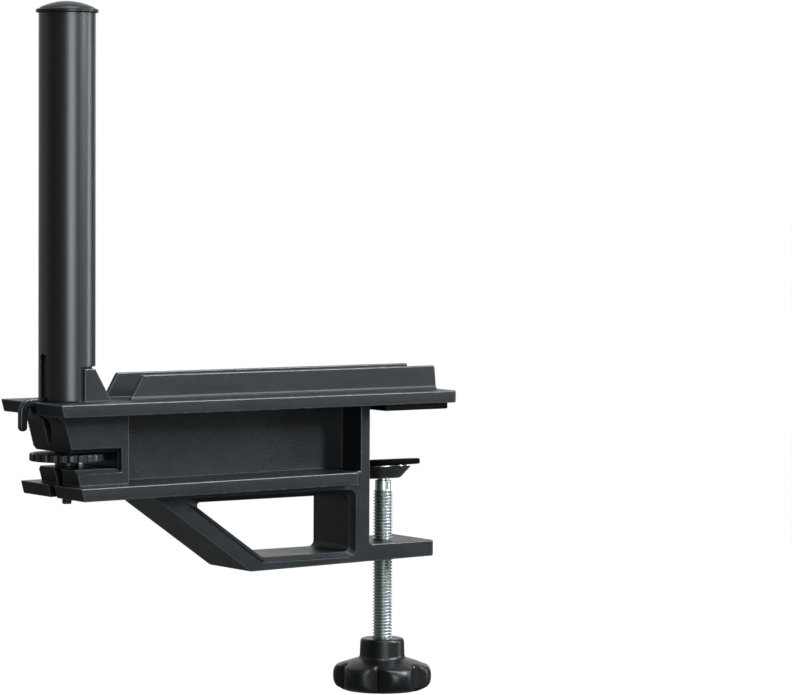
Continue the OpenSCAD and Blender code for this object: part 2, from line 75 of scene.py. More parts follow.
# Studio
FLOOR_REACH = 12.0      # from the middle of the floor to its sides
GLOW_NEAR, GLOW_FAR = 0.3, 2.5  # distances between which the floor's glow rises to white
WALL_EDGE = (0.75, 0.97)        # cosines of the angle from straight behind, where the white wall fades in
CEILING_EDGE = (0.3, 0.65)      # sines of the height, where the ceiling fades in
SENSOR = 36.0           # width of the camera's sensor in millimetres
CLIP = (0.05, 60.0)     # nearest and furthest that the camera sees
WHITE_LAMP = 4.0        # watts per square metre of a lamp that looks white
AIM = Vector((-0.05, 0, 0.02))

# Each lamp's name, turn round the clamp from the camera's side to its right and rise in degrees,
# distance, width and height in metres, and glow: how bright it looks, where 1 is white.
LAMPS = (
    ("key_panel", 20, 5, 1.3, 0.56, 0.6, 3.6),
    ("side_panel", 104, 4, 1.0, 0.15, 0.5, 5.6),
    ("right_strip", 73, 35, 1.3, 0.22, 1.0, 24.0),
    ("top_panel", 25, 78, 1.3, 0.6, 0.6, 9.0),
    ("left_panel", -112, 5, 1.3, 2.0, 0.9, 0.16),
)

# Finishes
SPREAD = (0.3, 0.7)     # between which most of a noise lies
BUSH_STEEL = (0.07, 0.07, 0.072)
WASHER_STEEL = (0.03, 0.03, 0.031)
PLUG_PLASTIC = (0.02, 0.02, 0.021)
DISC_RUBBER = (0.002, 0.002, 0.002)


def middle(node):
    """Centre of a node's box at rest."""
    low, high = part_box(node)
    return (low + high) / 2


def span(node):
    """Sizes of a node's box at rest."""
    low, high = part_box(node)
    return high - low


POST_X = middle("post_cap").x
SCREW_X = middle("retaining_ring").x
POST_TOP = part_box("post_tube")[1].z
WHEEL_LOW, WHEEL_HIGH = (corner.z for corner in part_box("thumbwheel"))
SCREW_LOW, SCREW_HIGH = (corner.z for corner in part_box("clamp_screw"))
ROD_LOW, ROD_HIGH = (corner.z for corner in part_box("height_screw"))
KNOB_LOW, KNOB_HIGH = (corner.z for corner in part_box("knob"))


# ---------------------------------------------------------------- properties


def length(name, text, default, low=0.0):
    """A length in metres."""
    return bpy.props.FloatProperty(name=name, description=text, default=default, min=low, precision=5,
                                   unit="LENGTH")


def angle(name, text, default):
    """An angle, given in degrees and kept in radians."""
    return bpy.props.FloatProperty(name=name, description=text, default=math.radians(default),
                                   subtype="ANGLE", unit="ROTATION")


def share(name, text, default, high=1.0):
    """A number from 0 to high."""
    return bpy.props.FloatProperty(name=name, description=text, default=default, min=0.0, max=high,
                                   subtype="FACTOR")


def count(name, text, default):
    """A whole number of repeats."""
    return bpy.props.IntProperty(name=name, description=text, default=default, min=1)


def colour(name, text, default):
    """A linear colour."""
    return bpy.props.FloatVectorProperty(name=name, description=text, default=default, size=3, min=0.0,
                                         max=1.0, subtype="COLOR")


def group(name, text, kind):
    """One group of settings."""
    return bpy.props.PointerProperty(name=name, description=text, type=kind)


class MouldingSettings(bpy.types.PropertyGroup):
    """Moulded body, hook and rubber."""

    tint: colour("Plastic", "Colour of the moulded body", (0.0088, 0.0110, 0.0128))
    # Edge colour: a painted highlight on the body's rounded edges, and partly rubbed wear.
    edge_tint: colour("Lightened edge", "Colour of the rubbed edges", (0.085, 0.092, 0.097))
    rubber: colour("Rubber", "Colour of the pads", (0.006, 0.006, 0.0063))
    edge: length("Edge radius", "Radius of the body's moulded edges", 0.00042)
    hook_edge: length("Hook edge", "Radius of the hook's edges", 0.0007)
    grain: length("Grain", "Size of the moulded grain", 0.0004)


class PostSettings(bpy.types.PropertyGroup):
    """Painted tube and its cap."""

    paint: colour("Paint", "Colour of the painted tube", (0.0095, 0.0105, 0.0115))
    cap: colour("Cap", "Colour of the cap", (0.016, 0.017, 0.018))
    tube_edge: length("Tube edge", "Radius of the cut edges of the tube", 0.00022)
    rim: length("Cap radius", "Radius of the cap's rim", span("post_cap").x / 2)
    rim_h: length("Rim height", "Height of the cap's rim", 0.0011)
    rise: length("Dome", "Rise of the dome over the rim", 0.0032)
    skirt: length("Skirt radius", "Radius of the skirt inside the tube", 0.00935)
    skirt_wall: length("Skirt wall", "Wall of the skirt", 0.0016)
    skirt_drop: length("Skirt length", "Length of the skirt", 0.010)
    groove: length("Groove", "Depth of the groove round the dome", 0.00025)


class AdjusterSettings(bpy.types.PropertyGroup):
    """Thumbwheel and height screw."""

    tint: colour("Wheel", "Colour of the thumbwheel", (0.012, 0.0125, 0.013))
    # The thumbwheel's outer teeth are drawn in this lighter colour.
    edge_tint: colour("Lightened teeth", "Colour of the rubbed teeth", (0.055, 0.056, 0.058))
    zinc: colour("Small zinc", "Colour of the small zinc parts", (0.22, 0.22, 0.22))
    wheel_r: length("Wheel radius", "Radius over the teeth", 0.014)
    wheel_t: length("Rim thickness", "Thickness of the wheel's rim", 0.0028)
    boss_r: length("Boss radius", "Radius of the boss on top of the wheel", 0.007)
    boss_rise: length("Boss rise", "Rise of the boss over the wheel's rim", 0.0002)
    hub_r: length("Hub radius", "Radius of the hub under the wheel", 0.0045)
    bore_r: length("Bore", "Radius of the wheel's bore", 0.0024)
    pocket_r: length("Pocket", "Radius of the nut's pocket", 0.00425)
    pocket_h: length("Pocket depth", "Depth of the nut's pocket", 0.0022)
    notches: count("Notches", "Notches round the rim", 24)
    notch_r: length("Notch radius", "Radius of a notch", 0.0012)
    rod_r: length("Screw radius", "Outside radius of the height screw", 0.002)
    pitch: length("Pitch", "Pitch of the height screw", 0.0007)


class ScrewSettings(bpy.types.PropertyGroup):
    """Clamping screw and its pressure pad."""

    zinc: colour("Bright zinc", "Colour of the zinc plating", (0.92, 0.98, 0.95))
    cup: colour("Cup steel", "Colour of the pressed cup", (0.20, 0.20, 0.18))
    thread_r: length("Thread radius", "Outside radius of the thread", 0.0039)
    pitch: length("Pitch", "Pitch of the thread", 0.00125)
    shank_r: length("Shank radius", "Radius of the plain shank", 0.0031)
    shank_l: length("Shank length", "Length of the plain shank", 0.004)
    neck_r: length("Neck radius", "Radius of the neck in the cup", 0.0022)
    neck_l: length("Neck length", "Length of the neck", 0.0035)
    head_flats: length("Head flats", "Width over the flats of the head", 0.013)
    head_h: length("Head height", "Height of the head", 0.0053)
    lean: angle("Lean", "Lean of the loose pad on its neck", -4.8)
    pivot_z: length("Pivot", "Height of the pad's pivot", -0.02775, -1.0)
    plate_z: length("Plate", "Top of the backing plate when level", -0.0231, -1.0)
    plate_h: length("Plate rise", "Backing plate above the cup's rim", 0.0007)
    plate_sink: length("Plate sink", "Backing plate inside the cup", 0.0008)
    disc_r: length("Disc radius", "Radius of the rubber disc", 0.0148)
    disc_t: length("Disc", "Thickness of the rubber disc", 0.0022)
    disc_edge: length("Disc edge", "Radius of the disc's edge", 0.0007)
    cup_r: length("Cup radius", "Radius of the cup's rim", 0.0112)
    cup_floor_r: length("Cup floor", "Radius of the cup's floor", 0.0067)
    cup_h: length("Cup height", "Depth of the cup", 0.0045)
    cup_t: length("Cup steel thickness", "Thickness of the cup's steel", 0.0011)


class KnobSettings(bpy.types.PropertyGroup):
    """Star knob."""

    tint: colour("Knob", "Colour of the knob", (0.0022, 0.0022, 0.0024))
    lobes: count("Lobes", "Number of lobes", 6)
    turn: angle("Turn", "Turn of the first lobe from the X axis", 18)
    lobe_r: length("Lobe radius", "Radius of a lobe", 0.0068)
    tip_r: length("Knob radius", "Radius over the lobes", 0.01985)
    foot_r: length("Foot radius", "Radius of the knob between its lobes", 0.0154)
    foot_h: length("Foot height", "Height of the foot under the lobes", 0.0012)
    lobe_h: length("Lobe height", "Height of a lobe's rounded end", 0.0084)
    lobe_in: length("Lobe rounding", "How far that end is drawn in", 0.004)
    collar_r: length("Collar radius", "Radius of the collar", 0.0089)
    collar_h: length("Collar height", "Height of the collar", 0.0077)
    bore_r: length("Bore", "Radius of the knob's bore", 0.00395)
    pocket_r: length("Pocket", "Radius round the screw's head", 0.0077)
    recess_h: length("Recess depth", "Depth of the cap's recess", 0.0016)
    soft: length("Softness", "Radius of the knob's soft edges", 0.0015)


class StudioSettings(bpy.types.PropertyGroup):
    """Camera, lamps and floor."""

    yaw: angle("Yaw", "Camera's heading from the Y axis", 34.93)
    pitch: angle("Pitch", "Camera's tilt below level", 2.89)
    roll: angle("Roll", "Camera's roll", 0.30)
    distance: length("Distance", "Depth of the table's top edge", 1.46751)
    focal: bpy.props.FloatProperty(name="Focal length", default=170.36, min=1.0, unit="CAMERA",
                                   description="Focal length on a 36 mm wide sensor")
    aim_x: length("Aim across", "Table edge's place right of the picture's middle", -0.018175, -1.0)
    aim_y: length("Aim up", "Table edge's place above the picture's middle", -0.023717, -1.0)
    floor_z: length("Floor", "Height of the floor", -0.16, -10.0)
    floor: colour("Floor colour", "Colour of the floor under the lamps", (0.055, 0.055, 0.052))
    floor_glow: share("Floor glow", "Brightness that the camera adds to the floor near the clamp", 0.96)
    lamp: colour("Lamp colour", "Colour of the lamps", (0.86, 0.95, 1.0))
    ambient: share("Ambient", "Light from all round", 0.03, 4.0)
    room: share("Room", "Brightness of the room in reflections", 0.07)
    ceiling: share("Ceiling", "Brightness overhead in reflections, beside the room's", 0.22)


class NetClampSettings(bpy.types.PropertyGroup):
    """All settings of the clamp."""

    moulding: group("Mouldings", "Body, hook and rubber", MouldingSettings)
    post: group("Post", "Tube and cap", PostSettings)
    adjuster: group("Adjuster", "Thumbwheel and screw", AdjusterSettings)
    screw: group("Screw", "Screw and pad", ScrewSettings)
    knob: group("Knob", "Star knob", KnobSettings)
    studio: group("Studio", "Camera and lights", StudioSettings)


# ---------------------------------------------------------------- surfaces


def blend_min(a, b, soft):
    """Lesser of a and b, with the crossing rounded over the length soft."""
    h = np.clip(0.5 + 0.5 * (b - a) / soft, 0, 1)
    return b + (a - b) * h - soft * h * (1 - h)


def soften(corners, closed, steps=5):
    """Rounds a line of (r, z, radius) corners: each one gives way to a quadratic curve between the
    points its radius short of it on both sides, with one more point just outside each end, so that flat
    faces stay flat. The ends of an open line are kept."""
    corners = np.array(corners, float)
    p, radius = corners[:, :2], corners[:, 2]
    back, ahead = np.roll(p, 1, 0) - p, np.roll(p, -1, 0) - p
    size_b, size_a = np.linalg.norm(back, axis=1), np.linalg.norm(ahead, axis=1)
    cut = np.minimum(radius, MOST_CUT * np.minimum(size_a, size_b))[:, None]
    b, a = back / size_b[:, None] * cut, ahead / size_a[:, None] * cut
    t = np.linspace(0, 1, steps)[None, :, None]
    curve = p[:, None] + (1 - t) ** 2 * b[:, None] + t ** 2 * a[:, None]
    line = np.concatenate([(p + FLAT_EDGE * b)[:, None], curve, (p + FLAT_EDGE * a)[:, None]], 1)
    if closed:
        return line.reshape(-1, 2)
    return np.concatenate([p[:1], line[1:-1].reshape(-1, 2), p[-1:]])


def turned(line, columns, x, outline=None):
    """Surface of a line of (r, z) points turned about the upright axis at x: the point at angle a is
    (x + r cos a, r sin a, z). outline(a, r, z) may give another radius."""
    a = np.linspace(0, TURN, columns, endpoint=False)[None, :]
    r, z = (np.repeat(line[:, i:i + 1], columns, 1) for i in (0, 1))
    if outline is not None:
        r = outline(np.repeat(a, len(line), 0), r, z)
    return np.stack([x + r * np.cos(a), r * np.sin(a), z], -1)


def skin(grid, closed):
    """Points and quads of a grid whose columns meet again, and whose rows do too if it is closed."""
    rows, cols = grid.shape[:2]
    index = np.arange(rows * cols).reshape(rows, cols)
    if closed:
        index = np.concatenate([index, index[:1]])
    across = np.roll(index, -1, 1)
    quads = np.stack([index[:-1], across[:-1], across[1:], index[1:]], -1).reshape(-1, 4)
    return grid.reshape(-1, 3), quads


def thread(x, low, high, radius, pitch, columns, steps):
    """Points and quads of a screw thread on an upright axis. The point at row i and angle a has the
    height low + pitch (i / steps + a / one turn), so rows run along the helix, and one turn later the
    last column meets the first one steps rows higher. Its radius is the core plus the height of a
    flat-topped 60 degree ridge, which fades out over one pitch at both ends. Rows past an end close
    onto its middle."""
    rows = int(math.ceil((high - low) / pitch * steps)) + steps + 1
    i = np.arange(rows)[:, None]
    a = np.linspace(0, TURN, columns, endpoint=False)[None, :]
    z = np.clip(low + pitch * ((i - steps) / steps + a / TURN), low, high)
    from_crest = np.abs(i / steps % 1 - 0.5) * 2
    ridge = np.clip((1 - ROOT - from_crest) / (1 - ROOT - CREST), 0, 1)
    ends = np.clip(np.minimum(z - low, high - z) / pitch, 0, 1)
    depth = THREAD_DEPTH * pitch
    r = radius - depth * (1 - ridge * ends * ends * (3 - 2 * ends))
    grid = np.stack([x + r * np.cos(a), r * np.sin(a), z], -1)
    pole = np.zeros((1, columns, 3)) + (x, 0, 0)
    grid = np.concatenate([pole + (0, 0, low), grid, pole + (0, 0, high)])
    total = rows + 2
    index = np.arange(total * columns).reshape(total, columns)
    across = np.roll(index, -1, 1)
    across[:, -1] = index[np.minimum(np.arange(total) + steps, total - 1), 0]
    quads = np.stack([index[:-1], across[:-1], across[1:], index[1:]], -1).reshape(-1, 4)
    return grid.reshape(-1, 3), quads


def piece(name, parts, finish, body, nodes, wear=None, sharp=32):
    """Makes one object of several (points, quads) surfaces. Doubles are merged, faces are turned
    outwards and edges sharper than the given angle stay crisp. The mask function, given the points, gives
    each point a value from 0 to 1, which a finish may read."""
    starts = np.cumsum([0] + [len(p) for p, _ in parts[:-1]])
    points = np.concatenate([p for p, _ in parts])
    quads = np.concatenate([q + s for (_, q), s in zip(parts, starts)])
    mesh = bpy.data.meshes.new(name)
    mesh.from_pydata(points, [], quads.tolist())
    shell = bmesh.new()
    shell.from_mesh(mesh)
    bmesh.ops.remove_doubles(shell, verts=shell.verts, dist=DOUBLE)
    bmesh.ops.dissolve_degenerate(shell, dist=DOUBLE, edges=shell.edges)
    bmesh.ops.recalc_face_normals(shell, faces=shell.faces)
    shell.to_mesh(mesh)
    shell.free()
    if wear is not None:
        amount = mesh.attributes.new("wear", "FLOAT", "POINT")
        amount.data.foreach_set("value", np.clip(wear(positions(mesh)), 0, 1).astype(np.float32))
    finish_off(mesh, name, [finish], body, nodes, sharp)


def positions(mesh):
    """All points of a mesh as one array."""
    out = np.zeros(len(mesh.vertices) * 3)
    mesh.vertices.foreach_get("co", out)
    return out.reshape(-1, 3)


def finish_off(mesh, name, finishes, body, nodes, sharp):
    """Smooths the mesh between its sharp edges and puts it in the scene as one object, which rides on
    its body in its nodes' place."""
    mesh.polygons.foreach_set("use_smooth", np.ones(len(mesh.polygons), bool))
    mesh.set_sharp_from_angle(angle=math.radians(sharp))
    slots = np.zeros(len(mesh.polygons), np.int32)
    mesh.polygons.foreach_get("material_index", slots)
    mesh.materials.clear()
    for finish in finishes:
        mesh.materials.append(finish)
    mesh.polygons.foreach_set("material_index", slots)
    thing = bpy.data.objects.new(name, mesh)
    bpy.context.scene.collection.objects.link(thing)
    weights = thing.modifiers.new("face weights", "WEIGHTED_NORMAL")
    weights.keep_sharp = True
    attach(thing, body)
    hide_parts(*nodes)


def rounded_copy(name, node, width, finishes, body, sharp=25, steps=2):
    """Makes a merged copy of a CAD node, with the edges sharper than the given angle rounded. The
    rounding of outer edges takes the second finish."""
    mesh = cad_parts[node].data.copy()
    mesh.name = name
    shell = bmesh.new()
    shell.from_mesh(mesh)
    bmesh.ops.remove_doubles(shell, verts=shell.verts, dist=CAD_DOUBLE)
    bmesh.ops.dissolve_limit(shell, angle_limit=math.radians(FLAT), verts=shell.verts, edges=shell.edges)
    for face in shell.faces:
        face.material_index = 0
    limit = math.radians(sharp)
    edges = [e for e in shell.edges if e.is_manifold and e.calc_face_angle(0) > limit]
    bmesh.ops.bevel(shell, geom=edges, offset=width, offset_type="OFFSET", segments=steps, profile=0.5,
                    affect="EDGES", clamp_overlap=False, loop_slide=True, material=1)
    bmesh.ops.remove_doubles(shell, verts=shell.verts, dist=EDGE_DOUBLE)
    for face in shell.faces:
        bend = sum(e.calc_length() * e.calc_face_angle_signed(0) for e in face.edges if e.is_manifold)
        face.material_index = int(face.material_index == 1 and bend > 0)
    shell.to_mesh(mesh)
    shell.free()
    finish_off(mesh, name, finishes, body, [node], sharp=40)


# ---------------------------------------------------------------- finishes


class Wire:
    """One shader output. Arithmetic on it adds Math nodes."""

    def __init__(self, finish, socket):
        self.finish, self.socket = finish, socket

    def math(self, operation, *values):
        """A Math node on these values."""
        return self.finish.node("ShaderNodeMath", {"operation": operation}, *values)

    def __add__(self, other):
        return self.math("ADD", self, other)

    def __sub__(self, other):
        return self.math("SUBTRACT", self, other)

    def __rsub__(self, other):
        return self.math("SUBTRACT", other, self)

    def __mul__(self, other):
        return self.math("MULTIPLY", self, other)

    __radd__, __rmul__ = __add__, __mul__

    def between(self, low, high, first=0.0, last=1.0):
        """first at low, last at high, straight between and held outside."""
        return self.finish.node("ShaderNodeMapRange", {"clamp": True}, self, low, high, first, last)


class Finish:
    """A material in the making. node() adds any node; the rest are short forms of it."""

    def __init__(self, owner):
        owner.use_nodes = True
        self.owner, self.tree = owner, owner.node_tree
        self.tree.nodes.clear()

    def node(self, kind, options=None, *values, output=0, **named):
        """Adds a node of this type: first its options, then the values or links of its sockets."""
        made = self.tree.nodes.new(kind)
        for key, value in (options or {}).items():
            setattr(made, key, value)
        named = {key.replace("_", " "): value for key, value in named.items()}
        for key, value in [*enumerate(values), *named.items()]:
            self.join(made.inputs[key], value)
        return Wire(self, made.outputs[output]) if made.outputs else made

    def join(self, socket, value):
        """Links a Wire to the socket, or sets the socket to a value."""
        if isinstance(value, Wire):
            self.tree.links.new(value.socket, socket)
        elif value is not None:
            size = len(socket.default_value) if hasattr(socket.default_value, "__len__") else 0
            socket.default_value = (*value, 1.0)[:size] if size else value

    def place(self, stretch=(1, 1, 1)):
        """Object coordinates, stretched."""
        own = self.node("ShaderNodeTexCoord", None, output="Object")
        return self.node("ShaderNodeVectorMath", {"operation": "MULTIPLY"}, own, stretch)

    def wear(self):
        """The mask value that piece() gives each point."""
        return self.node("ShaderNodeAttribute", {"attribute_name": "wear"}, output="Fac")

    def noise(self, size, detail=2.0, rough=0.5, stretch=(1, 1, 1)):
        """Cloudy noise with blotches of this size in metres, from 0 to 1."""
        return self.node("ShaderNodeTexNoise", None, Vector=self.place(stretch), Scale=1 / size,
                         Detail=detail, Roughness=rough)

    def tint(self, mask, low, high):
        """Colour low where mask is 0 and high where it is 1."""
        skipped = [None] * 5    # the node's sockets for numbers and vectors
        return self.node("ShaderNodeMix", {"data_type": "RGBA"}, mask, *skipped, low, high, output=2)

    def measure(self, operation, *vectors):
        """A number worked out from vectors."""
        return self.node("ShaderNodeVectorMath", {"operation": operation}, *vectors, output="Value")

    def rays(self, *kinds):
        """1 on rays of one or either of these kinds, and 0 on others."""
        first, *rest = [self.node("ShaderNodeLightPath", None, output=kind) for kind in kinds]
        return rest[0].math("MAXIMUM", first, rest[0]) if rest else first

    def bump(self, height, depth):
        """Normal raised by height times depth, in metres."""
        return self.node("ShaderNodeBump", None, Height=height, Distance=depth, Strength=1.0)

    def shade(self, **sockets):
        """Ends the material in one Principled shader."""
        surface = self.node("ShaderNodeBsdfPrincipled", None, **sockets)
        self.node("ShaderNodeOutputMaterial", None, surface)
        return self.owner


def scaled(tint, by):
    """A colour made lighter or darker."""
    return tuple(min(1.0, c * by) for c in tint)


def moulded(name, tint, rough, grain, depth, gloss=0.5, edge_tint=None):
    """Moulded plastic: cloudy flow marks in colour and gloss, and a fine pebbled grain. With a lighter
    edge colour, the piece's mask makes it lighter and smoother where the mask is high."""
    f = Finish(bpy.data.materials.new(name))
    flow = f.noise(0.018, detail=3.0, rough=0.55, stretch=(1, 1, 2.2))
    cloud = f.noise(grain * 7)
    pebble = f.noise(grain, rough=0.6)
    clouds = flow.between(*SPREAD) * 0.35 + cloud.between(0.35, 0.65) * 0.3
    base = f.tint(clouds + pebble.between(*SPREAD) * 0.35, scaled(tint, 0.6), scaled(tint, 1.45))
    dull = flow.between(*SPREAD, rough - 0.05, rough + 0.05) + pebble.between(*SPREAD, 0.06, -0.06)
    if edge_tint is not None:
        amount = f.wear() * cloud.between(0.2, 0.6, 0.55, 1.0)
        base = f.tint(amount, base, edge_tint)
        dull = dull - amount * 0.12
    return f.shade(Base_Color=base, Roughness=dull, Normal=f.bump(pebble, depth),
                   Specular_IOR_Level=gloss)


def brightened(name, tint, rough, grain):
    """The rounded edges of a moulding: smoother and lighter than its faces, in short patches. The lighter
    colour is a painted highlight along the edges, and partly rubbed wear.
    """
    f = Finish(bpy.data.materials.new(name))
    patch = f.noise(grain * 10, detail=3.0, rough=0.6)
    fine = f.noise(grain)
    base = f.tint(patch.between(*SPREAD), scaled(tint, 0.78), scaled(tint, 1.08))
    return f.shade(Base_Color=base, Roughness=patch.between(*SPREAD, rough - 0.03, rough + 0.05),
                   Normal=f.bump(fine, 0.00001))


def rubbery(name, tint, rough):
    """Rubber: dull, with a fine sandy face and dust in patches."""
    f = Finish(bpy.data.materials.new(name))
    sand = f.noise(0.0004, detail=3.0, rough=0.65)
    dust = f.noise(0.006, detail=4.0, rough=0.6)
    base = f.tint(dust.between(0.5, 0.8) * sand, scaled(tint, 0.9), scaled(tint, 2.0))
    return f.shade(Base_Color=base, Roughness=dust.between(*SPREAD, rough - 0.06, rough + 0.04),
                   Normal=f.bump(sand, 0.00004), Specular_IOR_Level=0.05)


def painted(name, tint, rough):
    """Satin paint on a drawn tube, under a thin coat: a shallow orange peel, faint draw lines and a few
    lighter scuffs."""
    f = Finish(bpy.data.materials.new(name))
    peel = f.noise(0.0011)
    lines = f.noise(0.0008, stretch=(1, 1, 0.02))
    scuff = f.noise(0.004, detail=4.0, rough=0.7, stretch=(1, 1, 0.35)).between(0.66, 0.8)
    base = f.tint(scuff, tint, scaled(tint, 1.9))
    dull = lines.between(*SPREAD, rough - 0.01, rough + 0.01) + scuff * 0.08
    return f.shade(Base_Color=base, Roughness=dull, Normal=f.bump(peel * 0.9 + lines * 0.1, 0.000008),
                   Specular_IOR_Level=1.0, Coat_Weight=0.4, Coat_Roughness=rough)


def plated(name, tint, rough, streak=(1, 1, 1), tone=0.85, depth=0.000006, patchy=1.0, root=None):
    """Plated or bare steel: patches of tone and dulness, and fine rolling marks, longer where streak is
    small. With a root colour, the steel takes it where the piece's mask is 0: painted shade in the
    roots of a thread."""
    f = Finish(bpy.data.materials.new(name))
    patch = f.noise(0.0025, detail=4.0, rough=0.6)
    marks = f.noise(0.00035, detail=3.0, rough=0.6, stretch=streak)
    mask = patch.between(*SPREAD) * 0.55 + marks.between(*SPREAD) * 0.45
    base = f.tint(mask, scaled(tint, tone), scaled(tint, 1.06))
    if root is not None:
        base = f.tint(f.wear(), root, base)
    return f.shade(Base_Color=base, Metallic=1.0,
                   Roughness=mask.between(0.2, 0.8, rough - 0.05 * patchy, rough + 0.09 * patchy),
                   Normal=f.bump(marks, depth))


def dress(node, finish):
    """Gives a CAD node that stays in view its finish."""
    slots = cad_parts[node].data.materials
    slots.clear()
    slots.append(finish)


# ---------------------------------------------------------------- operators


def settings(context):
    """All settings of the clamp."""
    return context.scene.net_clamp


class DressBracket(bpy.types.Operator):
    """Rounds the edges of the moulded body, cord hook and jaw pad, and gives them their finishes"""

    bl_idname = "netclamp.dress_bracket"
    bl_label = "Body, hook and pads"

    def execute(self, context):
        s = settings(context).moulding
        # The second finish lightens the body's rounded outer edges: a painted highlight, and partly
        # rubbed wear.
        body = [moulded("body_plastic", s.tint, rough=0.40, grain=s.grain, depth=0.00012),
                brightened("body_edge_wear_and_sheen", s.edge_tint, rough=0.25, grain=s.grain)]
        rounded_copy("moulded_body", "clamp_body", s.edge, body, "bracket")
        hook = [moulded("hook_plastic", s.tint, rough=0.22, grain=s.grain, depth=0.00002, gloss=0.8)] * 2
        rounded_copy("cord_hook_moulding", "cord_hook", s.hook_edge, hook, "bracket",
                     steps=3)
        pad = [rubbery("pad_rubber", s.rubber, rough=0.78)] * 2
        rounded_copy("jaw_pad_rubber", "jaw_pad", s.edge, pad, "bracket")
        dress("jaw_bush", plated("dark_steel", BUSH_STEEL, rough=0.38))
        dress("wheel_washers", plated("washer_steel", WASHER_STEEL, rough=0.45))
        return {"FINISHED"}


class MakeThumbwheel(bpy.types.Operator):
    """Turns the notched thumbwheel round its nut"""

    bl_idname = "netclamp.make_thumbwheel"
    bl_label = "Thumbwheel"

    def execute(self, context):
        s = settings(context).adjuster
        low, high = WHEEL_LOW, WHEEL_HIGH
        top, pocket = high - s.boss_rise, high - s.pocket_h
        under = top - s.wheel_t
        line = soften([(s.bore_r, low, 0), (s.hub_r, low, 0.3 * MM), (s.hub_r, under, 0.5 * MM),
                       (s.wheel_r, under, 0.55 * MM), (s.wheel_r, top, 0.55 * MM),
                       (s.boss_r, top, 0.05 * MM), (s.boss_r, high, 0.08 * MM),
                       (s.pocket_r, high, 0.2 * MM), (s.pocket_r, pocket, 0),
                       (s.bore_r, pocket, 0)], closed=True, steps=6)
        away = s.wheel_r + 0.45 * s.notch_r
        rim_in, lip = s.boss_r + 1.5 * MM, 0.18 * MM
        # The teeth are drawn lighter from this radius outwards, over the fade.
        tint_from, fade = s.wheel_r - 0.5 * MM, 0.45 * MM
        uncut = s.wheel_r + 1

        def toothed(a, r, z):
            """Radius r, cut by circles of radius notch_r round the rim, whose centres are away from the
            axis. The cut's lips are softened."""
            off = (a * s.notches / TURN + 0.5) % 1 - 0.5
            off = off * TURN / s.notches
            side = away * np.sin(off)
            cut = away * np.cos(off) - np.sqrt(np.clip(s.notch_r ** 2 - side ** 2, 0, None))
            cut = np.where(np.abs(side) < s.notch_r, cut, uncut)
            return np.where(r > rim_in, blend_min(r, cut, lip), r)

        def amount(p):
            """From 0 at the radius where the teeth start to lighten to 1 a fade further out, on the
            teeth.
            """
            return (np.hypot(p[:, 0] - POST_X, p[:, 1]) - tint_from) / fade

        finish = moulded("wheel_plastic", s.tint, rough=0.36, grain=0.0004, depth=0.00002, edge_tint=s.edge_tint)
        rim = [skin(turned(line, s.notches * 18, POST_X, toothed), closed=True)]
        piece("thumbwheel_rim", rim, finish, "wheel", ["thumbwheel"], amount)
        dress("wheel_nut", plated("nut_zinc", s.zinc, rough=0.3))
        return {"FINISHED"}


class MakePost(bpy.types.Operator):
    """Rounds the tube's cut edges, turns the domed cap and threads the height screw"""

    bl_idname = "netclamp.make_post"
    bl_label = "Post, cap and height screw"

    def execute(self, context):
        s, a = settings(context).post, settings(context).adjuster
        paint = [painted("tube_paint", s.paint, rough=0.33)] * 2
        rounded_copy("painted_tube", "post_tube", s.tube_edge, paint, "post")
        dome_r = (s.rim ** 2 + s.rise ** 2) / (2 * s.rise)
        r = np.linspace(0, s.rim, 40)
        groove_in, groove_w = 1.1 * MM, 0.3 * MM
        dish = s.groove * np.exp(-((r - s.rim + groove_in) / groove_w) ** 2)
        rim_top, foot = POST_TOP + s.rim_h, POST_TOP - s.skirt_drop
        dome = np.stack([r, rim_top + s.rise - dome_r + np.sqrt(dome_r ** 2 - r ** 2) - dish], 1)
        inner = s.skirt - s.skirt_wall
        under = soften([(s.rim, rim_top, 0), (s.rim, POST_TOP, 0.3 * MM), (s.skirt, POST_TOP, 0.2 * MM),
                        (s.skirt, foot, 0.3 * MM), (inner, foot, 0.3 * MM), (inner, POST_TOP, 0.3 * MM),
                        (0, POST_TOP, 0)], closed=False)
        finish = moulded("cap_plastic", s.cap, rough=0.33, grain=0.0005, depth=0.00002)
        cap = [skin(turned(np.concatenate([dome[:-1], under]), 128, POST_X), closed=False)]
        piece("cap_dome", cap, finish, "post", ["post_cap"])
        zinc = plated("rod_zinc", a.zinc, rough=0.3)
        rod = [thread(POST_X, ROD_LOW, ROD_HIGH, a.rod_r, a.pitch, columns=20, steps=8)]
        piece("threaded_rod", rod, zinc, "post", ["height_screw"], sharp=75)
        dress("post_plug", moulded("plug_plastic", PLUG_PLASTIC, rough=0.5, grain=0.0005, depth=0.00003))
        dress("plug_nut", plated("plug_nut_zinc", a.zinc, rough=0.3))
        return {"FINISHED"}


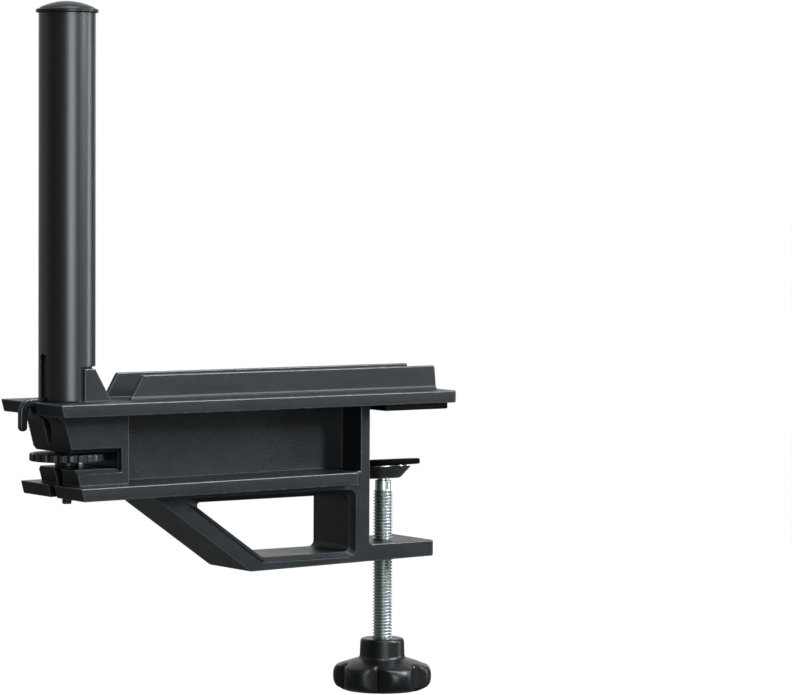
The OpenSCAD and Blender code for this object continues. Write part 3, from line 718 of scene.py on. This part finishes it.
class MakeScrew(bpy.types.Operator):
    """Cuts the clamping screw's thread, with its shank, neck and head"""

    bl_idname = "netclamp.make_screw"
    bl_label = "Clamping screw"

    def execute(self, context):
        s = settings(context).screw
        head, seat = s.head_flats / 2, SCREW_LOW + s.head_h
        shoulder = SCREW_HIGH - s.neck_l
        shank_low = shoulder - s.shank_l
        core = s.thread_r - THREAD_DEPTH * s.pitch
        within = core - 0.2 * MM
        run_low, run_high = seat - MM, shank_low + 0.3 * s.pitch
        cut = thread(SCREW_X, run_low, run_high, s.thread_r, s.pitch, columns=48, steps=16)
        line = soften([(0, SCREW_LOW, 0), (head, SCREW_LOW, 0.4 * MM), (head, seat, 0.4 * MM),
                       (within, seat, 0.2 * MM), (within, shank_low, 0.1 * MM),
                       (s.shank_r, shank_low, 0.2 * MM), (s.shank_r, shoulder, 0.25 * MM),
                       (s.neck_r, shoulder, 0.1 * MM), (s.neck_r, SCREW_HIGH, 0.3 * MM),
                       (0, SCREW_HIGH, 0)], closed=False)
        sixth = TURN / 6

        def six_sided(a, r, z):
            """Stretches the radius to a hexagon's flats below the seat, and keeps it above."""
            flat = 1 / np.cos((a + sixth / 2) % sixth - sixth / 2)
            return np.where(z < seat + 0.1 * MM, r * np.where(r > core, flat, 1), r)

        def crest(p):
            """From 0 at the thread's root to 1 at its crest, and 1 off the thread. It masks the painted
            shade of the roots.
            """
            r = np.hypot(p[:, 0] - SCREW_X, p[:, 1])
            threaded = (p[:, 2] > seat) & (p[:, 2] < shank_low)
            return np.where(threaded, (r - core) / (s.thread_r - core), 1)

        # The thread's roots take a darker zinc colour: painted shade between the crests.
        zinc = plated("screw_zinc", s.zinc, rough=0.34, streak=(1, 1, 0.15), tone=0.95, depth=0.000001,
                      patchy=0.2, root=scaled(s.zinc, 0.4))
        whole = [cut, skin(turned(line, 72, SCREW_X, six_sided), closed=False)]
        piece("threaded_screw", whole, zinc, "screw", ["clamp_screw"], crest, 75)
        dress("retaining_ring", plated("ring_zinc", settings(context).adjuster.zinc, rough=0.3))
        return {"FINISHED"}


class MakeKnob(bpy.types.Operator):
    """Shapes the star knob and its collar"""

    bl_idname = "netclamp.make_knob"
    bl_label = "Star knob"

    def execute(self, context):
        s = settings(context).knob
        low, lobes_low = KNOB_LOW, KNOB_LOW + s.foot_h
        shoulder = KNOB_HIGH - s.collar_h
        recess, recess_top = span("knob_cap").x / 2 + 0.05 * MM, low + s.recess_h
        seat = SCREW_LOW + settings(context).screw.head_h + 0.1 * MM
        bend = math.radians(60)
        bulge = np.linspace(-bend, bend, 13)
        side = np.stack([s.tip_r - s.lobe_in * (1 - np.cos(bulge)),
                         lobes_low + s.lobe_h / 2 * (1 + np.sin(bulge) / math.sin(bend))], 1)
        top = soften([(*side[-1], 0), (s.collar_r + s.lobe_in, shoulder - s.foot_h, 2.5 * MM),
                      (s.collar_r, shoulder, 1.2 * MM), (s.collar_r - 0.3 * MM, KNOB_HIGH, 1.3 * MM),
                      (s.bore_r, KNOB_HIGH, 0.3 * MM), (s.bore_r, seat, 0), (s.pocket_r, seat, 0),
                      (s.pocket_r, recess_top, 0), (recess, recess_top, 0.1 * MM),
                      (recess, low, 0.25 * MM), (s.foot_r, low, 0.8 * MM), (*side[0], 0)],
                     closed=False, steps=7)
        line = np.concatenate([side[:-1], top[:-1]])
        away, hollow_in = s.tip_r - s.lobe_r, s.collar_r + 1.5 * MM

        def star(a, r, z):
            """Below the shoulder, the lesser of the turned radius and the star's outline. That is the
            greater of the foot circle and the lobe circles, whose centres are away from the axis. Both
            crossings are softened."""
            off = ((a - s.turn) * s.lobes / TURN + 0.5) % 1 - 0.5
            off = off * TURN / s.lobes
            aside = away * np.sin(off)
            chord = np.sqrt(np.clip(s.lobe_r ** 2 - aside ** 2, 0, None))
            lobe = np.where(np.abs(aside) < s.lobe_r, away * np.cos(off) + chord, 0)
            outline = -blend_min(-lobe, -s.foot_r, 2 * s.soft)
            hollowed = (r > hollow_in) & (z < shoulder)
            return np.where(hollowed, blend_min(r, outline, s.soft), r)

        finish = moulded("knob_plastic", s.tint, rough=0.36, grain=0.0009, depth=0.000006, gloss=0.65)
        knob = [skin(turned(line, s.lobes * 40, SCREW_X, star), closed=True)]
        piece("star_knob", knob, finish, "screw", ["knob"], sharp=40)
        dress("knob_cap", moulded("knob_cap_plastic", s.tint, rough=0.35, grain=0.0005, depth=0.00002))
        return {"FINISHED"}


class MakePad(bpy.types.Operator):
    """Turns the pressed cup, its bright plate and the rubber disc, which lean together"""

    bl_idname = "netclamp.make_pad"
    bl_label = "Pressure pad"

    def execute(self, context):
        s = settings(context).screw
        disc_top, rim = s.plate_z + s.disc_t, s.plate_z - s.plate_h
        low, sunk = rim - s.cup_h, rim - s.plate_sink
        floor = low + s.cup_t
        slope = (s.cup_r - s.cup_floor_r) / s.cup_h
        wall = s.cup_t * math.hypot(1, slope)
        hole = s.neck_r + 0.4 * MM
        plate_r = s.cup_r - wall - 0.1 * MM
        cup = soften([(hole, low, 0.2 * MM), (s.cup_floor_r, low, 0.9 * MM), (s.cup_r, rim, 0.35 * MM),
                      (s.cup_r - wall, rim, 0.35 * MM),
                      (s.cup_floor_r - wall + slope * s.cup_t, floor, 0.5 * MM),
                      (hole, floor, 0.2 * MM)], closed=True)
        plate = soften([(0, s.plate_z, 0), (plate_r, s.plate_z, 0.15 * MM), (plate_r, rim, 0.15 * MM),
                        (plate_r - slope * s.plate_sink, sunk, 0.15 * MM), (0, sunk, 0)], closed=False)
        disc = soften([(0, s.plate_z, 0), (s.disc_r, s.plate_z, s.disc_edge),
                       (s.disc_r, disc_top, s.disc_edge), (0, disc_top, 0)], closed=False, steps=7)
        level = (0.2, 0.2, 1)
        steel = plated("cup_steel", s.cup, rough=0.38, streak=level, tone=0.7)
        zinc = plated("plate_zinc", s.zinc, rough=0.25, streak=level)
        rubber = rubbery("disc_rubber", DISC_RUBBER, rough=0.6)
        c, d = math.cos(s.lean), math.sin(s.lean)
        for name, line, closed, finish, slot, node in (
                ("pressed_cup", cup, True, steel, "cup_steel", "pressure_cup"),
                ("backing_plate", plate, False, zinc, "screw_zinc", "pad_plate"),
                ("rubber_disc", disc, False, rubber, "disc_rubber", "pressure_disc")):
            grid = turned(line, 120, SCREW_X)
            y, z = grid[..., 1], grid[..., 2] - s.pivot_z
            grid = np.stack([grid[..., 0], y * c - z * d, y * d + z * c + s.pivot_z], -1)
            piece(name, [skin(grid, closed)], finish, "pad", [node])
        return {"FINISHED"}


class MakeStudio(bpy.types.Operator):
    """Sets up the camera, the lamps, the pale floor and the room"""

    bl_idname = "netclamp.make_studio"
    bl_label = "Studio"

    def execute(self, context):
        s = settings(context).studio
        back = Vector((math.sin(s.yaw), math.cos(s.yaw), 0))
        level = Vector((math.cos(s.yaw), -math.sin(s.yaw), 0))
        self.place_camera(context.scene, s, back, level)
        self.hang_lamps(context.scene, s, back, level)
        self.lay_floor(context.scene, s)
        self.paint_room(context.scene, s, back)
        return {"FINISHED"}

    def place_camera(self, scene, s, back, level):
        """Puts the camera where the origin lies distance ahead of it and aim_x right of and aim_y above
        the picture's middle. back is its level heading, and level points to its right."""
        ahead = back * math.cos(s.pitch) - Vector((0, 0, math.sin(s.pitch)))
        above = level.cross(ahead)
        right = math.cos(s.roll) * level + math.sin(s.roll) * above
        up = math.cos(s.roll) * above - math.sin(s.roll) * level
        camera = bpy.data.objects.new("camera", bpy.data.cameras.new("camera"))
        scene.collection.objects.link(camera)
        camera.data.lens, camera.data.sensor_width = s.focal, SENSOR
        camera.data.clip_start, camera.data.clip_end = CLIP
        eye = -(ahead * s.distance + right * s.aim_x + up * s.aim_y)
        axes = Matrix((right, up, -ahead)).transposed().to_4x4()
        camera.matrix_world = Matrix.Translation(eye) @ axes
        scene.camera = camera
        scene.view_settings.view_transform = "Standard"

    def hang_lamps(self, scene, s, back, level):
        """Hangs the soft panels of LAMPS, each facing AIM."""
        for name, turn, rise, distance, width, height, glow in LAMPS:
            turn, rise = math.radians(turn), math.radians(rise)
            flat = level * math.sin(turn) - back * math.cos(turn)
            way = flat * math.cos(rise) + Vector((0, 0, math.sin(rise)))
            lamp = bpy.data.objects.new(name, bpy.data.lights.new(name, "AREA"))
            lamp.data.shape, lamp.data.size, lamp.data.size_y = "RECTANGLE", width, height
            lamp.data.energy, lamp.data.color = WHITE_LAMP * width * height * glow, s.lamp
            scene.collection.objects.link(lamp)
            turned_in = way.to_track_quat("Z", "Y").to_matrix().to_4x4()
            lamp.matrix_world = Matrix.Translation(AIM + way * distance) @ turned_in

    def lay_floor(self, scene, s):
        """Lays the floor, which hides nothing from below. The camera sees it glow, a little less near
        the clamp, where the lamps light it too. Reflections show it as dim as the room."""
        corners = np.array([(-1, -1), (1, -1), (1, 1), (-1, 1)]) * FLOOR_REACH
        mesh = bpy.data.meshes.new("floor")
        mesh.from_pydata([(x, y, s.floor_z) for x, y in corners], [], [(0, 1, 2, 3)])
        floor = bpy.data.objects.new("floor", mesh)
        scene.collection.objects.link(floor)
        f = Finish(bpy.data.materials.new("floor_paint"))
        speck = f.noise(0.003, detail=3.0)
        paper = f.node("ShaderNodeBsdfDiffuse", None, f.tint(speck, scaled(s.floor, 0.97), s.floor))
        glow = f.measure("LENGTH", f.place()).between(GLOW_NEAR, GLOW_FAR, s.floor_glow, 1.0)
        seen = f.rays("Is Camera Ray") * glow + f.rays("Is Glossy Ray", "Is Transmission Ray") * s.room
        both = f.node("ShaderNodeAddShader", None, paper, f.node("ShaderNodeEmission", None, seen))
        behind = f.node("ShaderNodeNewGeometry", None, output="Backfacing")
        clear = f.node("ShaderNodeBsdfTransparent", None, (1, 1, 1))
        paint = f.node("ShaderNodeMixShader", None, behind, both, clear)
        f.node("ShaderNodeOutputMaterial", None, paint)
        mesh.materials.append(f.owner)

    def paint_room(self, scene, s, back):
        """Paints the world white for the camera. In reflections it is a dim room with a white wall
        behind the clamp and a paler ceiling, and other rays get the ambient."""
        w = Finish(bpy.data.worlds.new("studio_room"))
        scene.world = w.owner
        mirror = w.rays("Is Glossy Ray", "Is Transmission Ray")
        way = w.node("ShaderNodeTexCoord", None, output="Generated")
        wall = w.measure("DOT_PRODUCT", way, back).between(*WALL_EDGE, s.room, 1.0)
        ceiling = w.measure("DOT_PRODUCT", way, (0, 0, 1)).between(*CEILING_EDGE, 0.0, s.ceiling)
        seen = w.rays("Is Camera Ray")
        sky = seen.math("MAXIMUM", seen, mirror * (wall + ceiling) + (1 - mirror) * s.ambient)
        w.node("ShaderNodeOutputWorld", None, w.node("ShaderNodeBackground", None, sky))


class NETCLAMP_PT_panel(bpy.types.Panel):
    """Lists the clamp's pieces and their settings"""

    bl_idname = "NETCLAMP_PT_panel"
    bl_label = "Net Clamp"
    bl_space_type = "VIEW_3D"
    bl_region_type = "UI"
    bl_category = "Net Clamp"

    def draw(self, context):
        for make, kind in STEPS:
            box = self.layout.box()
            box.operator(make.bl_idname)
            owner = getattr(settings(context), kind)
            for name in owner.bl_rna.properties.keys():
                if name not in ("rna_type", "name"):
                    box.prop(owner, name)


STEPS = ((MakeStudio, "studio"), (DressBracket, "moulding"), (MakeThumbwheel, "adjuster"),
         (MakePost, "post"), (MakeScrew, "screw"), (MakeKnob, "knob"), (MakePad, "screw"))
CLASSES = (MouldingSettings, PostSettings, AdjusterSettings, ScrewSettings, KnobSettings, StudioSettings,
           NetClampSettings, *(make for make, _ in STEPS), NETCLAMP_PT_panel)


def register():
    """Registers the classes and the clamp's settings."""
    for item in CLASSES:
        bpy.utils.register_class(item)
    bpy.types.Scene.net_clamp = bpy.props.PointerProperty(
        name="Net clamp", description="Settings of the net clamp", type=NetClampSettings)


def unregister():
    """Takes them away again."""
    del bpy.types.Scene.net_clamp
    for item in reversed(CLASSES):
        bpy.utils.unregister_class(item)


def main():
    """Runs the operators in order."""
    register()
    for make, _ in STEPS:
        family, name = make.bl_idname.split(".")
        getattr(getattr(bpy.ops, family), name)()


if __name__ == "__main__":
    main()
